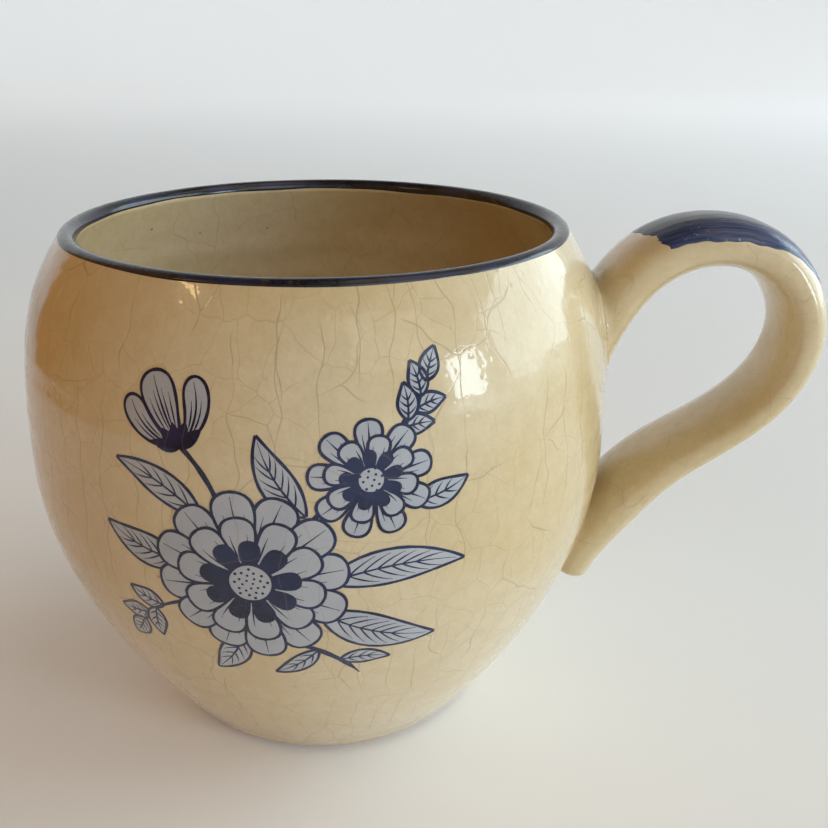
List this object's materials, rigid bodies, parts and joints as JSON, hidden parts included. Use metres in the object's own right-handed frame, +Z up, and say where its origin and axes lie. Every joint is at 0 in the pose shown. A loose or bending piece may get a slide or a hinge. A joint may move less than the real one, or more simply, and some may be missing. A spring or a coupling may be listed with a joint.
{
  "type": "ceramic mug",
  "caption": "Round-bellied glazed ceramic mug with a pulled strap handle, a dark blue lip, a brush stroke on the handle and a blue flower print on the front.",
  "frame": {"origin": "centre of the flat base, on the bowl's axis", "axes": "+Z up out of the mouth, +X towards the handle, -Y towards the print"},
  "size_m": [0.1324, 0.0969, 0.0867],
  "materials": {
    "bare_clay": "unglazed fired clay, matt",
    "cream_glaze": "glossy cream glaze with a fine craze",
    "navy_glaze": "glossy dark blue glaze, brushed on",
    "blue_print": "transfer print in dark blue lines over pale blue-grey, fired under gloss"
  },
  "bodies": {
    "root": {"bowl": "bare_clay", "foot": "bare_clay", "handle": "bare_clay", "upper_joint": "cream_glaze", "lower_joint": "cream_glaze", "outer_glaze": "cream_glaze", "liner_glaze": "cream_glaze", "handle_glaze": "cream_glaze", "rim_band": "navy_glaze", "handle_brush_stroke": "navy_glaze", "front_print": "blue_print"}
  },
  "joints": []
}
